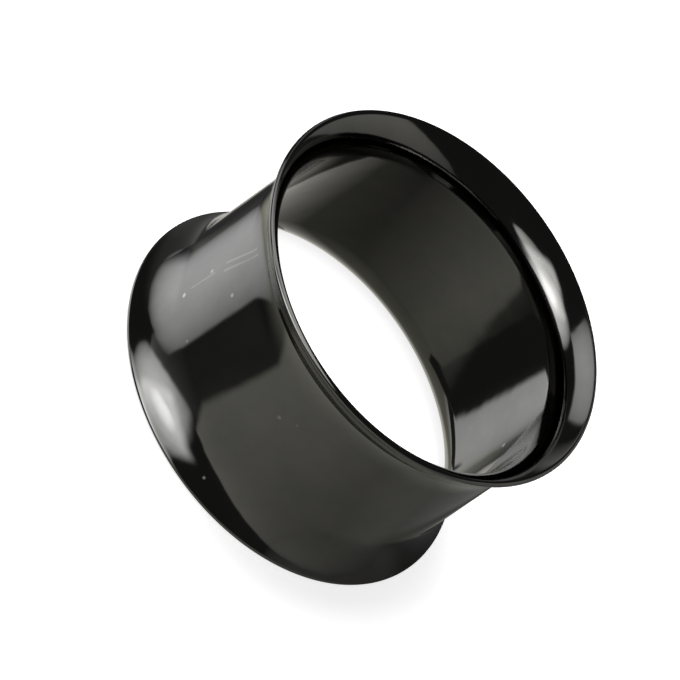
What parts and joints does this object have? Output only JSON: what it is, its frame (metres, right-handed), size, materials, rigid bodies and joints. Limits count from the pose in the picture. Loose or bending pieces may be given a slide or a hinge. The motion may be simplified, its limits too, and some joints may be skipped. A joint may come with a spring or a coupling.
{
  "type": "flesh tunnel",
  "caption": "Short thin-walled tube of black-coated steel, open right through, with a flared lip at each end.",
  "frame": {"origin": "centre of the lower lip, on the surface that the tunnel stands on", "axes": "+Z along the axis of the bore; the tunnel is round about Z and stands on its lower lip"},
  "size_m": [0.0178, 0.0178, 0.01],
  "materials": {
    "black_steel": "mirror-polished surgical steel with a black vapour-deposited coat"
  },
  "bodies": {
    "root": {"tunnel": "black_steel"}
  },
  "joints": []
}
